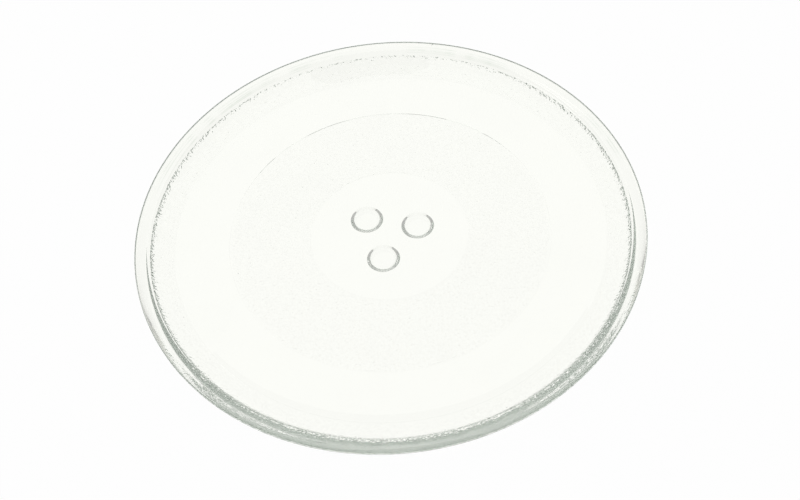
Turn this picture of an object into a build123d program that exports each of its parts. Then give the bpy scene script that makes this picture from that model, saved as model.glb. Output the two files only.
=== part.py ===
from build123d import *
import math
import os

os.makedirs("parts", exist_ok=True)

# Overall sizes
plate_diameter = 245.0
glass_thickness = 5.0  # from the roller track up to the floor of the dish
rim_rise = 4.5  # from the floor of the dish up to the top of the rim

# Roller track: a smooth band on the underside, proud of the stippled glass on both sides of it
track_margin = 18.25  # edge of the plate to the outer edge of the track
track_width = 26.4
track_relief = 0.16
track_edge_run = 0.4  # width of the sloped edge on each side of the track
track_edge_radius = 0.3

# Rim: a lip that stands out past the wall of the dish and thins towards its edge in a gentle curve
lip_width = 5.3  # edge of the plate to the root of the lip, on the underside
lip_root_thickness = 5.27
lip_bend_width = 2.6  # edge of the plate to the middle of the curve
lip_bend_thickness = 3.91
lip_edge_thickness = 2.1
lip_root_radius = 4.0
lip_bend_radius = 21.0
lip_edge_radius = 1.3
rim_width = 6.6  # edge of the plate to the inner edge of the rim
rim_outer_radius = 0.5
rim_inner_radius = 1.1

# Wall of the dish, outside and inside
wall_run = 3.3
wall_foot_rise = 0.55
wall_foot_radius = 6.3
inner_wall_run = 1.05
inner_foot_rise = 3.0
inner_foot_radius = 2.5
floor_margin = 20.8  # edge of the plate to the edge of the flat floor
floor_edge_radius = 9.0

# Drive lugs: three bosses that the wings of the drive coupler turn between
lug_count = 3
lug_circle_diameter = 29.0
lug_diameter = 15.8  # where the boss meets the plate
lug_height = 2.5  # from the roller track down to the end of the boss
lug_draft = 32.0  # degrees
lug_root_radius = 0.4
lug_end_radius = 3.0
lug_start_angle = 30.0  # leaves one boss on the front, at -Y

# Mould mark: a short round-bottomed notch across the top of the rim, opposite the front boss
mark_radius = 0.45
mark_depth = 0.3
mark_length = 2.0
mark_inset = 1.5  # edge of the plate to the middle of the notch
mark_angle = 90.0

# Heights above the plane that the boss ends stand on
track_z = lug_height
pad_z = track_z + track_relief
floor_z = track_z + glass_thickness
rim_z = floor_z + rim_rise

# Radii from the axis
plate_r = plate_diameter / 2
track_outer_r = plate_r - track_margin
track_inner_r = track_outer_r - track_width
lip_root_r = plate_r - lip_width
lip_bend_r = plate_r - lip_bend_width
wall_foot_r = lip_root_r - wall_run
rim_inner_r = plate_r - rim_width
inner_foot_r = rim_inner_r - inner_wall_run
floor_r = plate_r - floor_margin


def rounding_length(before, corner, after, radius):
    # Length of each straight run that a rounding of this radius takes up at a corner
    turn = math.radians((corner - before).get_angle(after - corner))
    return radius * math.tan(turn / 2)


def fitted_radii(points, wanted):
    # The wanted radii, made smaller where two neighbouring roundings don't fit on the run between them
    radii = list(wanted)
    lengths = [
        rounding_length(points[i], points[i + 1], points[i + 2], radius)
        for i, radius in enumerate(wanted)
    ]
    for i, length in enumerate(lengths):
        following = lengths[i + 1] if i + 1 < len(lengths) else 0
        leading = lengths[i - 1] if i > 0 else 0
        room_before = (points[i + 1] - points[i]).length / (leading + length)
        room_after = (points[i + 2] - points[i + 1]).length / (length + following)
        radii[i] = wanted[i] * min(1, 0.98 * room_before, 0.98 * room_after)
    return radii


# Half section of the glass, from the axis out along the underside and back along the top
section = [
    Vector(0, pad_z),
    Vector(track_inner_r - track_edge_run, pad_z),
    Vector(track_inner_r, track_z),
    Vector(track_outer_r, track_z),
    Vector(track_outer_r + track_edge_run, pad_z),
    Vector(wall_foot_r, pad_z + wall_foot_rise),
    Vector(lip_root_r, rim_z - lip_root_thickness),
    Vector(lip_bend_r, rim_z - lip_bend_thickness),
    Vector(plate_r, rim_z - lip_edge_thickness),
    Vector(plate_r, rim_z),
    Vector(rim_inner_r, rim_z),
    Vector(inner_foot_r, floor_z + inner_foot_rise),
    Vector(floor_r, floor_z),
    Vector(0, floor_z),
]
section_radii = [
    track_edge_radius,
    track_edge_radius,
    track_edge_radius,
    track_edge_radius,
    wall_foot_radius,
    lip_root_radius,
    lip_bend_radius,
    lip_edge_radius,
    rim_outer_radius,
    rim_inner_radius,
    inner_foot_radius,
    floor_edge_radius,
]

# Turntable plate: one piece of pressed glass
with BuildPart() as turntable_plate:
    # The dish
    with BuildSketch(Plane.XZ):
        with BuildLine():
            skin = FilletPolyline(*section, radius=fitted_radii(section, section_radii))
            Line(skin @ 1, skin @ 0)
        make_face()
    revolve(axis=Axis.Z)

    # The drive lugs
    lug_r = lug_diameter / 2
    lug_end_r = lug_r - pad_z * math.tan(math.radians(lug_draft))
    with PolarLocations(lug_circle_diameter / 2, lug_count, start_angle=lug_start_angle):
        Cone(lug_end_r, lug_r, pad_z, align=(Align.CENTER, Align.CENTER, Align.MIN))
    lug_edges = turntable_plate.edges(Select.LAST).filter_by(GeomType.CIRCLE).group_by(Axis.Z)
    fillet(lug_edges[-1], radius=lug_root_radius)
    # The rounding of the end fits on the sloped side that the root's rounding leaves
    half_turn = math.radians(90 - lug_draft) / 2
    side_room = pad_z / math.cos(math.radians(lug_draft)) - lug_root_radius * math.tan(half_turn)
    end_room = min(lug_end_r, side_room) / math.tan(half_turn)
    lug_ends = turntable_plate.edges().group_by(Axis.Z)[0]
    fillet(lug_ends, radius=min(lug_end_radius, 0.9 * end_room))

    # The mould mark
    with PolarLocations(plate_r - mark_inset, 1, start_angle=mark_angle):
        with Locations((0, 0, rim_z + mark_radius - mark_depth)):
            Cylinder(mark_radius, mark_length, rotation=(0, 90, 0), mode=Mode.SUBTRACT)

turntable_plate.part.label = "turntable_plate"
export_step(turntable_plate.part, "parts/turntable_plate.step")
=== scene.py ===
import bpy
import math
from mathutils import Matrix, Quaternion, Vector


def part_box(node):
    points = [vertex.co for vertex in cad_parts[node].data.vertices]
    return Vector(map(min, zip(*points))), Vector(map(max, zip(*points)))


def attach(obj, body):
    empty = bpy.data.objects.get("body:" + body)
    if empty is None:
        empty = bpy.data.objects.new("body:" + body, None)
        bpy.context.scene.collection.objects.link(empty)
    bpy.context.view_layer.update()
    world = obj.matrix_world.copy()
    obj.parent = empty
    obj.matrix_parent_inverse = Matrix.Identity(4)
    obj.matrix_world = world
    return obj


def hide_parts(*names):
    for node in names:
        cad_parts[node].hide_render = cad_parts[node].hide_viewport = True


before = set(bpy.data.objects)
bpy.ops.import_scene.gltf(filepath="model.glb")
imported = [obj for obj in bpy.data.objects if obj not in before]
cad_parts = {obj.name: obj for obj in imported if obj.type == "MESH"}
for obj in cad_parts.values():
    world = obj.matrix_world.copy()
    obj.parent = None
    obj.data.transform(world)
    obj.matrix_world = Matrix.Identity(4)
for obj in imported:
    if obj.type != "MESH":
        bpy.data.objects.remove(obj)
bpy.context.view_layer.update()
bpy.ops.object.select_all(action="DESELECT")
scene = bpy.context.scene
mm = 0.001

plateLow, plateHigh = [Vector(corner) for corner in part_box("turntable_plate")]
plateRadius = (plateHigh.x - plateLow.x) / 2
rimTop = plateHigh.z
print("frame loaded, plate radius", round(plateRadius / mm, 2), "mm")


# Shader nodes: a socket with arithmetic, and one method for every other node
class Wire:
    def __init__(self, tree, node=None, output=0):
        self.tree = tree
        self.node = node
        self.output = output

    def add(self, kind, settings=None, inputs=None, output=0):
        node = self.tree.nodes.new("ShaderNode" + kind)
        for name, value in (settings or {}).items():
            setattr(node, name, value)
        for name, value in (inputs or {}).items():
            if isinstance(value, Wire):
                self.tree.links.new(value.node.outputs[value.output], node.inputs[name])
            else:
                node.inputs[name].default_value = value
        return Wire(self.tree, node, output)

    def other(self, output):
        return Wire(self.tree, self.node, output)

    def maths(self, operation, left, right):
        return self.add("Math", {"operation": operation}, {0: left, 1: right})

    def clamped(self):
        return self.add("Clamp", None, {"Value": self})

    def __add__(self, value):
        return self.maths("ADD", self, value)

    def __radd__(self, value):
        return self.maths("ADD", value, self)

    def __sub__(self, value):
        return self.maths("SUBTRACT", self, value)

    def __rsub__(self, value):
        return self.maths("SUBTRACT", value, self)

    def __mul__(self, value):
        return self.maths("MULTIPLY", self, value)

    def __rmul__(self, value):
        return self.maths("MULTIPLY", value, self)

    def __truediv__(self, value):
        return self.maths("DIVIDE", self, value)

    def __rtruediv__(self, value):
        return self.maths("DIVIDE", value, self)

    def __abs__(self):
        return self.maths("ABSOLUTE", self, 0)


def newMaterial(name):
    material = bpy.data.materials.new(name)
    material.use_nodes = True
    material.node_tree.nodes.clear()
    return material, Wire(material.node_tree)


# Modelling helpers
def editMode():
    bpy.ops.object.mode_set(mode="EDIT")


def objectMode():
    bpy.ops.object.mode_set(mode="OBJECT")


def selectEdges(piece, test):
    editMode()
    bpy.ops.mesh.select_mode(type="EDGE")
    bpy.ops.mesh.select_all(action="DESELECT")
    objectMode()
    points = piece.data.vertices
    for edge in piece.data.edges:
        edge.select = test(points[edge.vertices[0]].co, points[edge.vertices[1]].co)
    editMode()


def radiusOf(co):
    return math.hypot(co.x, co.y)


def startSection(name, start):
    bpy.ops.mesh.primitive_plane_add(size=mm, location=(start[0], 0, start[1]))
    piece = bpy.context.object
    piece.name = name
    bpy.ops.object.transform_apply(location=True)
    editMode()
    bpy.ops.mesh.select_all(action="SELECT")
    bpy.ops.mesh.merge(type="CENTER")
    return piece


def drawSection(name, corners):
    # corners are (radius, height, rounding, points on the rounding, cuts in the run that leads there)
    places = [Vector((corner[0], 0, corner[1])) * mm for corner in corners]
    piece = startSection(name, (places[0].x, places[0].z))
    pen = places[0]
    for i in range(1, len(corners)):
        rounding = corners[i][2] * mm
        inward = (places[i] - places[i - 1]).normalized()
        end = places[i]
        if rounding > 0:
            outward = (places[i + 1] - places[i]).normalized()
            turn = inward.angle(outward)
            side = 1 if inward.cross(outward).y > 0 else -1
            end = places[i] - inward * rounding * math.tan(turn / 2)
        cuts = corners[i][4]
        for cut in range(cuts + 1):
            bpy.ops.mesh.extrude_region_move(TRANSFORM_OT_translate={"value": (end - pen) / (cuts + 1)})
        if rounding > 0:
            square = Quaternion((0, 1, 0), side * math.pi / 2) @ inward
            centre = end + square * rounding
            bpy.ops.mesh.spin(steps=corners[i][3], angle=turn, center=centre, axis=(0, -side, 0))
            end = places[i] + outward * rounding * math.tan(turn / 2)
        pen = end
    return piece


def spinRound(piece, steps):
    bpy.ops.mesh.select_all(action="SELECT")
    bpy.ops.mesh.spin(steps=steps, angle=2 * math.pi, center=(0, 0, 0), axis=(0, 0, 1))
    bpy.ops.mesh.select_all(action="SELECT")
    bpy.ops.mesh.remove_doubles(threshold=weldGap)
    objectMode()


def applyModifier(piece, kind, **settings):
    bpy.context.view_layer.objects.active = piece
    bpy.ops.object.modifier_add(type=kind)
    modifier = piece.modifiers[-1]
    for name, value in settings.items():
        setattr(modifier, name, value)
    bpy.ops.object.modifier_apply(modifier=modifier.name)


# The plate, sizes in mm
weldGap = 1e-6  # metres
ringGap = 0.02  # how near a point lies to count as on a ring
downLimit = -0.2  # a normal's z below this faces down
plate = {
    "rimRise": 4.5,  # dish floor to rim top
    "thickness": 5.0,  # roller track to dish floor
    "trackMargin": 18.25,
    "trackWidth": 26.4,
    "trackRelief": 0.16,
    "trackRun": 0.4,  # width of the sloped edge of the track
    "trackRounding": 0.3,
    "lipWidth": 5.3,
    "lipRoot": 5.27,  # lip thickness at its root, at its bend and at its edge
    "bendWidth": 2.6,
    "lipBend": 3.91,
    "lipEdge": 2.1,
    "lipRootRounding": 4.0,
    "lipBendRounding": 21.0,
    "lipEdgeRounding": 1.3,
    "rimWidth": 6.6,
    "rimOuterRounding": 0.5,
    "rimInnerRounding": 1.1,
    "wallRun": 3.3,
    "footRise": 0.55,
    "footRounding": 6.3,
    "innerRun": 1.05,
    "innerRise": 3.0,
    "innerRounding": 2.5,
    "floorMargin": 20.8,
    "floorRounding": 9.0,
    "hubRadius": 38.0,  # smooth middle of the underside
    "spare": 1.2,  # flat strip kept beside each round
    "outerSteps": 960,
    "innerSteps": 480,
    "ringCuts": 54,
}
lug = {
    "circle": 14.5,  # radius of the circle the lugs stand on
    "radius": 7.9,
    "draft": math.radians(32),
    "rootRounding": 0.4,
    "endRounding": 3.0,
    "skirt": 1.0,  # flat ring left round the root
    "firstAngle": math.radians(30),
    "count": 3,
    "steps": 72,
}
rimMark = {"inset": 1.5, "radius": 0.45, "depth": 0.3, "length": 2.0, "sides": 32}

edgeR = plateRadius / mm
rimZ = rimTop / mm
floorZ = rimZ - plate["rimRise"]
trackZ = floorZ - plate["thickness"]
padZ = trackZ + plate["trackRelief"]
trackOuter = edgeR - plate["trackMargin"]
trackInner = trackOuter - plate["trackWidth"]
padInner = trackInner - plate["trackRun"]  # edge of the stippled middle
padOuter = trackOuter + plate["trackRun"]
lipRootR = edgeR - plate["lipWidth"]
lipBendR = edgeR - plate["bendWidth"]
wallFoot = lipRootR - plate["wallRun"]
rimInner = edgeR - plate["rimWidth"]
innerFoot = rimInner - plate["innerRun"]
floorR = edgeR - plate["floorMargin"]
floorLoop = floorR - 2 * plate["spare"]
trackInnerLoop = trackInner + plate["spare"]
trackOuterLoop = trackOuter - plate["spare"]


def makeOuterRing():
    step = plate["trackRounding"]
    ring = drawSection("outer_ring", [
        (trackOuterLoop, trackZ, 0, 0, 0),
        (trackOuter, trackZ, step, 2, 0),
        (padOuter, padZ, step, 2, 0),
        (wallFoot, padZ + plate["footRise"], plate["footRounding"], 7, 8),
        (lipRootR, rimZ - plate["lipRoot"], plate["lipRootRounding"], 4, 1),
        (lipBendR, rimZ - plate["lipBend"], plate["lipBendRounding"], 6, 0),
        (edgeR, rimZ - plate["lipEdge"], plate["lipEdgeRounding"], 5, 1),
        (edgeR, rimZ, plate["rimOuterRounding"], 4, 0),
        (rimInner, rimZ, plate["rimInnerRounding"], 4, 0),
        (innerFoot, floorZ + plate["innerRise"], plate["innerRounding"], 5, 0),
        (floorR, floorZ, plate["floorRounding"], 2, 1),
        (floorLoop, floorZ, 0, 0, 0),
    ])
    spinRound(ring, plate["outerSteps"])
    return ring


def makeInnerRing():
    step = plate["trackRounding"]
    ring = drawSection("inner_ring", [
        (plate["hubRadius"], padZ, 0, 0, 0),
        (padInner, padZ, step, 2, plate["ringCuts"]),
        (trackInner, trackZ, step, 2, 0),
        (trackInnerLoop, trackZ, 0, 0, 0),
    ])
    spinRound(ring, plate["innerSteps"])
    return ring


def lugPlaces():
    angles = [lug["firstAngle"] + 2 * math.pi * i / lug["count"] for i in range(lug["count"])]
    return [Vector((math.cos(angle), math.sin(angle), 0)) * lug["circle"] * mm for angle in angles]


def makeLugs():
    endR = lug["radius"] - padZ * math.tan(lug["draft"])
    lugs = drawSection("lugs", [
        (lug["radius"] + lug["skirt"], padZ, 0, 0, 0),
        (lug["radius"], padZ, lug["rootRounding"], 4, 0),
        (endR, plateLow.z / mm, lug["endRounding"], 10, 0),
        (0, plateLow.z / mm, 0, 0, 0),
    ])
    spinRound(lugs, lug["steps"])
    editMode()
    bpy.ops.mesh.select_all(action="SELECT")
    bpy.ops.transform.translate(value=lugPlaces()[0])
    others = lug["count"] - 1
    sweep = 2 * math.pi - 2 * math.pi / lug["count"]
    bpy.ops.mesh.spin(steps=others, dupli=True, angle=sweep, center=(0, 0, 0), axis=(0, 0, 1))
    objectMode()
    return lugs


def near(value, target):
    return abs(value - target * mm) < ringGap * mm


def onRing(co, radius, height):
    return near(radiusOf(co), radius) and near(co.z, height)


def onSkirt(co):
    away = min((co.xy - place.xy).length for place in lugPlaces())
    return near(away, lug["radius"] + lug["skirt"]) and near(co.z, padZ)


def joinPlate(pieces):
    bpy.ops.object.select_all(action="DESELECT")
    for piece in pieces:
        piece.select_set(True)
    bpy.context.view_layer.objects.active = pieces[0]
    bpy.ops.object.join()
    whole = bpy.context.object
    whole.name = "glass_plate"
    whole.data.name = "glass_plate"
    loops = [(trackInnerLoop, trackZ), (trackOuterLoop, trackZ)]
    selectEdges(whole, lambda a, b: any(onRing(a, *loop) and onRing(b, *loop) for loop in loops))
    bpy.ops.mesh.bridge_edge_loops()
    hub = (plate["hubRadius"], padZ)
    selectEdges(whole, lambda a, b: (onRing(a, *hub) and onRing(b, *hub)) or (onSkirt(a) and onSkirt(b)))
    bpy.ops.mesh.fill(use_beauty=True)
    dish = (floorLoop, floorZ)
    selectEdges(whole, lambda a, b: onRing(a, *dish) and onRing(b, *dish))
    bpy.ops.mesh.edge_face_add()
    bpy.ops.mesh.select_all(action="SELECT")
    bpy.ops.mesh.normals_make_consistent(inside=False)
    objectMode()
    return whole


def pressMark(whole):
    bpy.ops.object.select_all(action="DESELECT")
    lift = rimMark["radius"] - rimMark["depth"]
    bpy.ops.mesh.primitive_cylinder_add(
        vertices=rimMark["sides"], radius=rimMark["radius"] * mm, depth=rimMark["length"] * mm,
        rotation=(math.pi / 2, 0, 0), location=Vector((0, edgeR - rimMark["inset"], rimZ + lift)) * mm,
    )
    pin = bpy.context.object
    bpy.ops.object.transform_apply(location=True, rotation=True)
    applyModifier(whole, "BOOLEAN", object=pin, operation="DIFFERENCE", solver="EXACT")
    bpy.data.objects.remove(pin)


# Stipple: the pebbled rings of the underside, as real relief, in mm
stipple = {
    "pitch": 2.0,
    "relief": 0.24,
    "contrast": 1.2,
    "padShare": 0.35,  # the flat rings are pressed less deeply than the wall
    "wallRamp": 1.5,  # width over which it deepens, from the foot of the wall
    "fade": 1.0,  # width over which it dies out at the edges of a ring
}


def stippleAt(co, normal):
    if normal.z > downLimit:
        return 0
    radius = radiusOf(co) / mm
    inner = min(radius - plate["hubRadius"], padInner - radius)
    outer = min(radius - padOuter, lipRootR - radius)
    share = min(1, max(0, max(inner, outer) / stipple["fade"]))
    wall = min(1, max(0, (radius - wallFoot) / stipple["wallRamp"]))
    return share * (stipple["padShare"] + (1 - stipple["padShare"]) * wall)


def pressStipple(whole):
    weights = [stippleAt(point.co, point.normal) for point in whole.data.vertices]
    mask = whole.data.attributes.new("stipple", "FLOAT", "POINT")
    mask.data.foreach_set("value", weights)
    group = whole.vertex_groups.new(name="stippled")
    for index, weight in enumerate(weights):
        if weight > 0:
            group.add([index], weight, "REPLACE")
    pebbles = bpy.data.textures.new("pebbles", "VORONOI")
    pebbles.noise_scale = stipple["pitch"] * mm
    pebbles.noise_intensity = stipple["contrast"]
    applyModifier(
        whole, "DISPLACE", texture=pebbles, texture_coords="LOCAL", direction="NORMAL",
        vertex_group="stippled", strength=stipple["relief"] * mm, mid_level=1.0,
    )


# Painted shade along the mould seams: two fine, broken dark lines under the lip, where the seam's
# refraction darkens the rim, on part of the way round, in mm
shadedSeams = {
    "radii": (119.0, 120.25),
    "halfWidth": 0.4,
    "arcs": ((27, 46), (66, 98), (111, 180)),  # degrees from +X towards +Y
    "fade": 5.0,  # degrees at the ends of an arc
    "breakPitch": 9.0,
    "breakDetail": 2.0,
    "breakRange": (0.35, 0.6),  # of the noise, from broken off to whole
}


# where the painted seam shade goes: under the lip, on the listed arcs
def seamShadeAt(co, normal):
    if normal.z > downLimit or radiusOf(co) < lipRootR * mm:
        return 0
    angle = math.degrees(math.atan2(co.y, co.x))
    inside = max(min(angle - first, last - angle) for first, last in shadedSeams["arcs"])
    return min(1, max(0, inside / shadedSeams["fade"]))


def markSeamShade(whole):
    mask = whole.data.attributes.new("seamShade", "FLOAT", "POINT")
    mask.data.foreach_set("value", [seamShadeAt(point.co, point.normal) for point in whole.data.vertices])


def makePlate():
    whole = joinPlate([makeOuterRing(), makeInnerRing(), makeLugs()])
    pressMark(whole)
    pressStipple(whole)
    markSeamShade(whole)
    bpy.ops.object.select_all(action="DESELECT")
    whole.select_set(True)
    bpy.context.view_layer.objects.active = whole
    bpy.ops.object.shade_smooth()
    applyModifier(whole, "WEIGHTED_NORMAL", mode="FACE_AREA", weight=100, keep_sharp=False)
    return whole


glassPlate = makePlate()
triangles = sum(len(face.vertices) - 2 for face in glassPlate.data.polygons)
print("plate modelled,", triangles, "triangles")


# Glass: clear, faintly green, with smears, a finer grain inside the stipple, painted shade in the low spots
# of that grain and painted shade along the mould seams
glass = {
    "ior": 1.52,
    "density": 3.4,  # of the absorption, per metre
    "absorbed": (0.35, 0.47, 0.38, 1),
    "clean": (0.995, 1.0, 0.955, 1),
    "worn": (0.985, 0.99, 0.945, 1),
    "hollowShade": (0.945, 0.95, 0.905, 1),  # painted shade: the low spots of the grain made darker, for the shadow the stipple throws on the floor
    # painted shade: the dark colour of the lines along the mould seams
    "seamShadeColour": (0.7, 0.77, 0.68, 1),
    "grainPitch": 1.3,  # mm
    "grainRelief": 1.0,  # mm
    "grainDetail": 1.0,
    "hollowShadeRange": (0.5, 0.3),  # painted shade over the grain, from none at its middle height to full at its low spots
    "smearScale": 38.0,  # per metre
    "smearDetail": 4.0,
    "smearDistortion": 0.6,
    "smearRange": (0.5, 0.75),
    "smearRoughness": 0.01,
}


def makeNoise(wires, place, scale, detail, distortion=0.0):
    values = {"Vector": place, "Scale": scale, "Detail": detail, "Distortion": distortion}
    return wires.add("TexNoise", None, values)


def spread(wires, value, limits):
    return wires.add("MapRange", None, {"Value": value, "From Min": limits[0], "From Max": limits[1]})


def blend(wires, factor, under, over):
    return wires.add("Mix", {"data_type": "RGBA"}, {"Factor": factor, "A": under, "B": over}, "Result")


def readMask(wires, name):
    return wires.add("Attribute", {"attribute_name": name}, output="Fac")


def makeGlass():
    material, wires = newMaterial("clear_glass")
    place = wires.add("TexCoord", output="Object")
    stippled = readMask(wires, "stipple")
    grain = makeNoise(wires, place, 1 / (glass["grainPitch"] * mm), glass["grainDetail"])
    smears = makeNoise(wires, place, glass["smearScale"], glass["smearDetail"], glass["smearDistortion"])
    smear = spread(wires, smears, glass["smearRange"])
    colour = blend(wires, smear, glass["clean"], glass["worn"])
    # painted shade: the low spots of the grain inside the stipple are coloured darker, standing in for the
    # stipple's shadow on the floor seen through the glass
    hollowShading = spread(wires, stippled, (0, stipple["padShare"])) * spread(wires, grain, glass["hollowShadeRange"])
    colour = blend(wires, hollowShading, colour, glass["hollowShade"])
    flat = wires.add("VectorMath", {"operation": "MULTIPLY"}, {0: place, 1: (1, 1, 0)})
    radius = wires.add("VectorMath", {"operation": "LENGTH"}, {0: flat}, "Value") / mm
    # painted shade: two dark lines along the mould seams under the lip, broken into patches
    lines = sum((1 - abs(radius - seamR) / shadedSeams["halfWidth"]).clamped() for seamR in shadedSeams["radii"])
    patches = makeNoise(wires, place, 1 / (shadedSeams["breakPitch"] * mm), shadedSeams["breakDetail"])
    seamShade = lines * spread(wires, patches, shadedSeams["breakRange"]) * readMask(wires, "seamShade")
    colour = blend(wires, seamShade, colour, glass["seamShadeColour"])
    bump = wires.add("Bump", None, {"Height": grain * stippled, "Distance": glass["grainRelief"] * mm})
    shader = wires.add("BsdfPrincipled", None, {
        "Base Color": colour,
        "Roughness": smear * glass["smearRoughness"],
        "IOR": glass["ior"],
        "Transmission Weight": 1.0,
        "Normal": bump,
    })
    volume = wires.add("VolumeAbsorption", None, {"Color": glass["absorbed"], "Density": glass["density"]})
    wires.add("OutputMaterial", None, {"Surface": shader, "Volume": volume})
    return material


glassPlate.data.materials.clear()
glassPlate.data.materials.append(makeGlass())
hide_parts("turntable_plate")
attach(glassPlate, "root")
print("glass finished")


# Stage: a white floor that keeps a soft shadow, a plain grey studio and two soft lamps
stage = {
    "floorSize": 12.0,
    "floorDrop": 0.2,  # mm, so that the lug ends don't lie in the floor
    "paper": (0.9, 0.9, 0.9, 1),
    "white": (1.0, 1.0, 1.0, 1),
    "shadowShare": 0.02,
    "studio": (0.45, 0.45, 0.45, 1),
    "bounces": 96,  # enough for light that runs round inside the rim
}
lamps = {  # turn from the far side to the right and height in degrees, distance and size in metres, watts
    "far_panel": {"turn": 0, "height": 46, "distance": 1.2, "size": (1.4, 0.9), "power": 2.37},
    "left_lamp": {"turn": -85, "height": 45, "distance": 1.1, "size": (0.4, 0.4), "power": 0.6},
}


def makeFloor():
    drop = plateLow.z - stage["floorDrop"] * mm
    bpy.ops.mesh.primitive_plane_add(size=stage["floorSize"], location=(0, 0, drop))
    floor = bpy.context.object
    floor.name = "floor"
    material, wires = newMaterial("white_floor")
    path = wires.add("LightPath", output="Is Camera Ray")
    seen = (path + path.other("Is Glossy Ray") + path.other("Is Transmission Ray")).clamped()
    paper = wires.add("BsdfDiffuse", None, {"Color": stage["paper"]})
    white = wires.add("Emission", None, {"Color": stage["white"], "Strength": 1.0})
    mixed = wires.add("MixShader", None, {0: seen * (1 - stage["shadowShare"]), 1: paper, 2: white})
    wires.add("OutputMaterial", None, {"Surface": mixed})
    floor.data.materials.append(material)


def makeLight():
    world = bpy.data.worlds.new("studio")
    scene.world = world
    world.use_nodes = True
    world.node_tree.nodes["Background"].inputs["Color"].default_value = stage["studio"]
    for name, values in lamps.items():
        turn, height = math.radians(values["turn"]), math.radians(values["height"])
        flat = math.cos(height)
        towards = Vector((math.sin(turn) * flat, math.cos(turn) * flat, math.sin(height)))
        place = Quaternion((0, 0, 1), viewTurn) @ towards * values["distance"]
        bpy.ops.object.light_add(type="AREA", location=place)
        lamp = bpy.context.object
        lamp.name = name
        lamp.rotation_mode = "QUATERNION"
        lamp.rotation_quaternion = (-place).to_track_quat("-Z", "Y")
        lamp.data.shape = "RECTANGLE"
        lamp.data.size, lamp.data.size_y = values["size"]
        lamp.data.energy = values["power"]
        lamp.visible_camera = False


# Camera, as the photograph was taken: 800 x 500 pixels
view = {
    "turn": math.radians(16.5),  # from the front towards the right
    "elevation": math.radians(52.35),
    "roll": math.radians(-6.78),
    "distance": 5.6,  # plate radii
    "aimDrop": 0.8,  # mm below the rim top
    "focal": 1432,  # pixels
    "pixelsWide": 800,
    "shift": (11.6, -24.0),  # pixels
    "sensor": 36,
    "clipStart": 0.01,
}
viewTurn = view["turn"]


def makeCamera():
    bpy.ops.object.camera_add()
    camera = bpy.context.object
    camera.name = "photo_view"
    aim = Vector((0, 0, rimTop - view["aimDrop"] * mm))
    flat = math.cos(view["elevation"])
    away = Vector((flat * math.sin(viewTurn), -flat * math.cos(viewTurn), math.sin(view["elevation"])))
    camera.location = aim + away * view["distance"] * plateRadius
    camera.rotation_mode = "QUATERNION"
    camera.rotation_quaternion = (-away).to_track_quat("-Z", "Y") @ Quaternion((0, 0, 1), view["roll"])
    camera.data.sensor_width = view["sensor"]
    camera.data.lens = view["focal"] * view["sensor"] / view["pixelsWide"]
    camera.data.shift_x = view["shift"][0] / view["pixelsWide"]
    camera.data.shift_y = view["shift"][1] / view["pixelsWide"]
    camera.data.clip_start = view["clipStart"]
    scene.camera = camera


makeFloor()
makeLight()
makeCamera()
scene.view_settings.view_transform = "Standard"
scene.cycles.max_bounces = stage["bounces"]
scene.cycles.transmission_bounces = stage["bounces"]
scene.cycles.glossy_bounces = stage["bounces"]
print("stage, light and camera set")
